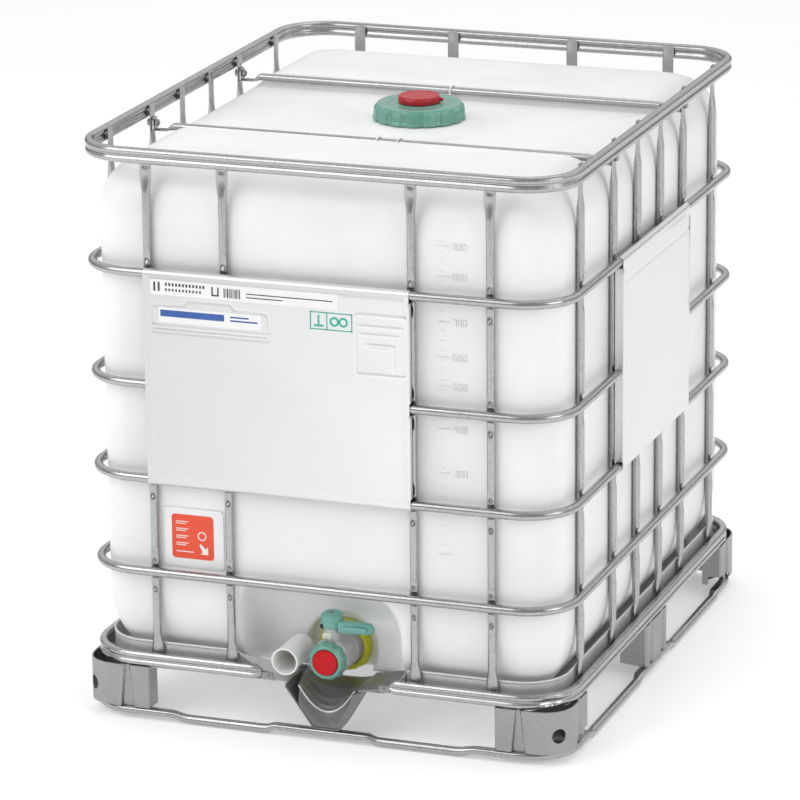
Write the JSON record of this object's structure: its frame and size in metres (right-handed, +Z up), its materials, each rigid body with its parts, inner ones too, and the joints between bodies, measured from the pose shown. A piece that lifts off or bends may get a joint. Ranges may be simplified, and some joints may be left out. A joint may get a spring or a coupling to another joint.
{
  "type": "intermediate bulk container",
  "caption": "Blow-moulded plastic tank with a screw lid and a lever-operated bottom outlet valve, held in a welded tube cage on a sheet-steel pallet with fork pockets.",
  "frame": {"origin": "middle of the footprint, on the ground", "axes": "+Z up; the outlet valve faces -Y from the middle of a narrow side; +X is to the right of someone facing the valve; Y is along the long side"},
  "size_m": [1, 1.2, 1.15],
  "materials": {
    "steel_tube": "bright galvanised tube",
    "dark_steel": "dull zinc-plated fastener",
    "plate_steel": "satin galvanised sheet",
    "tank_plastic": "translucent white polyethylene, satin",
    "green_plastic": "moulded, satin",
    "red_plastic": "moulded, satin",
    "rubber": "matt",
    "grey_plastic": "moulded, satin",
    "lime_plastic": "moulded, satin",
    "cream_plastic": "moulded, satin",
    "pallet_steel": "matt galvanised sheet"
  },
  "bodies": {
    "container_body": {"cage_ring_1": "steel_tube", "cage_ring_2": "steel_tube", "cage_ring_3": "steel_tube", "cage_ring_4": "steel_tube", "top_rail": "steel_tube", "base_rail": "steel_tube", "runner_frame": "steel_tube", "front_cross_bar": "steel_tube", "rear_cross_bar": "steel_tube", "front_upright_1": "steel_tube", "front_upright_2": "steel_tube", "front_upright_3": "steel_tube", "front_upright_4": "steel_tube", "rear_upright_1": "steel_tube", "rear_upright_2": "steel_tube", "rear_upright_3": "steel_tube", "rear_upright_4": "steel_tube", "left_upright_1": "steel_tube", "left_upright_2": "steel_tube", "left_upright_3": "steel_tube", "left_upright_4": "steel_tube", "left_upright_5": "steel_tube", "left_upright_6": "steel_tube", "right_upright_1": "steel_tube", "right_upright_2": "steel_tube", "right_upright_3": "steel_tube", "right_upright_4": "steel_tube", "right_upright_5": "steel_tube", "right_upright_6": "steel_tube", "front_left_bar_bolt": "dark_steel", "front_right_bar_bolt": "dark_steel", "rear_left_bar_bolt": "dark_steel", "rear_right_bar_bolt": "dark_steel", "front_label_plate": "plate_steel", "side_label_plate": "plate_steel", "tank": "tank_plastic", "valve_body": "grey_plastic", "valve_lock_ring": "lime_plastic", "tamper_tag": "cream_plastic", "front_left_foot": "pallet_steel", "front_right_foot": "pallet_steel", "rear_left_foot": "pallet_steel", "rear_right_foot": "pallet_steel", "right_middle_foot": "pallet_steel", "left_middle_foot": "pallet_steel", "rear_middle_foot": "pallet_steel", "valve_trough": "pallet_steel", "bottom_pan": "pallet_steel", "pallet_cross_beam": "pallet_steel"},
    "lid_gasket_body": {"fill_lid_gasket": "rubber"},
    "lid_body": {"fill_lid": "green_plastic"},
    "vent_seal_body": {"vent_seal": "rubber"},
    "vent_plug_body": {"vent_plug": "red_plastic"},
    "valve_lever_body": {"valve_lever": "green_plastic", "lever_screw": "dark_steel", "valve_disc": "grey_plastic"},
    "outlet_cap_body": {"outlet_cap_disc": "red_plastic", "outlet_seal": "rubber"},
    "outlet_nut_body": {"outlet_nut": "green_plastic"},
    "pour_spout_body": {"pour_spout": "tank_plastic"}
  },
  "joints": [
    {"name": "lid_lift", "type": "slide", "parent": "container_body", "child": "lid_gasket_body", "axis": [0, 0, 1], "range_m": [0, 0.022]},
    {"name": "lid_turn", "type": "hinge", "parent": "lid_gasket_body", "child": "lid_body", "pos_m": [0, 0, 1.118], "axis": [0, 0, 1], "range_deg": [0, 990]},
    {"name": "vent_lift", "type": "slide", "parent": "lid_body", "child": "vent_seal_body", "axis": [0, 0, 1], "range_m": [0, 0.018]},
    {"name": "vent_turn", "type": "hinge", "parent": "vent_seal_body", "child": "vent_plug_body", "pos_m": [0, 0, 1.14], "axis": [0, 0, 1], "range_deg": [0, 1080]},
    {"name": "valve_turn", "type": "hinge", "parent": "container_body", "child": "valve_lever_body", "pos_m": [0.004, -0.534, 0.228], "axis": [0, 0, 1], "range_deg": [-90, 0]},
    {"name": "outlet_cap_slide", "type": "slide", "parent": "container_body", "child": "outlet_cap_body", "axis": [0, -1, 0], "range_m": [0, 0.018]},
    {"name": "outlet_nut_turn", "type": "hinge", "parent": "outlet_cap_body", "child": "outlet_nut_body", "pos_m": [0.004, -0.565, 0.152], "axis": [0, -1, 0], "range_deg": [0, 1080]},
    {"name": "pour_spout_slide", "type": "slide", "parent": "container_body", "child": "pour_spout_body", "axis": [0, -1, 0], "range_m": [0, 0.15]}
  ],
  "couplings": [
    {"joint": "lid_lift", "follows": "lid_turn", "m_per_rad": 0.001273},
    {"joint": "vent_lift", "follows": "vent_turn", "m_per_rad": 0.0009549},
    {"joint": "outlet_cap_slide", "follows": "outlet_nut_turn", "m_per_rad": 0.0009549}
  ]
}
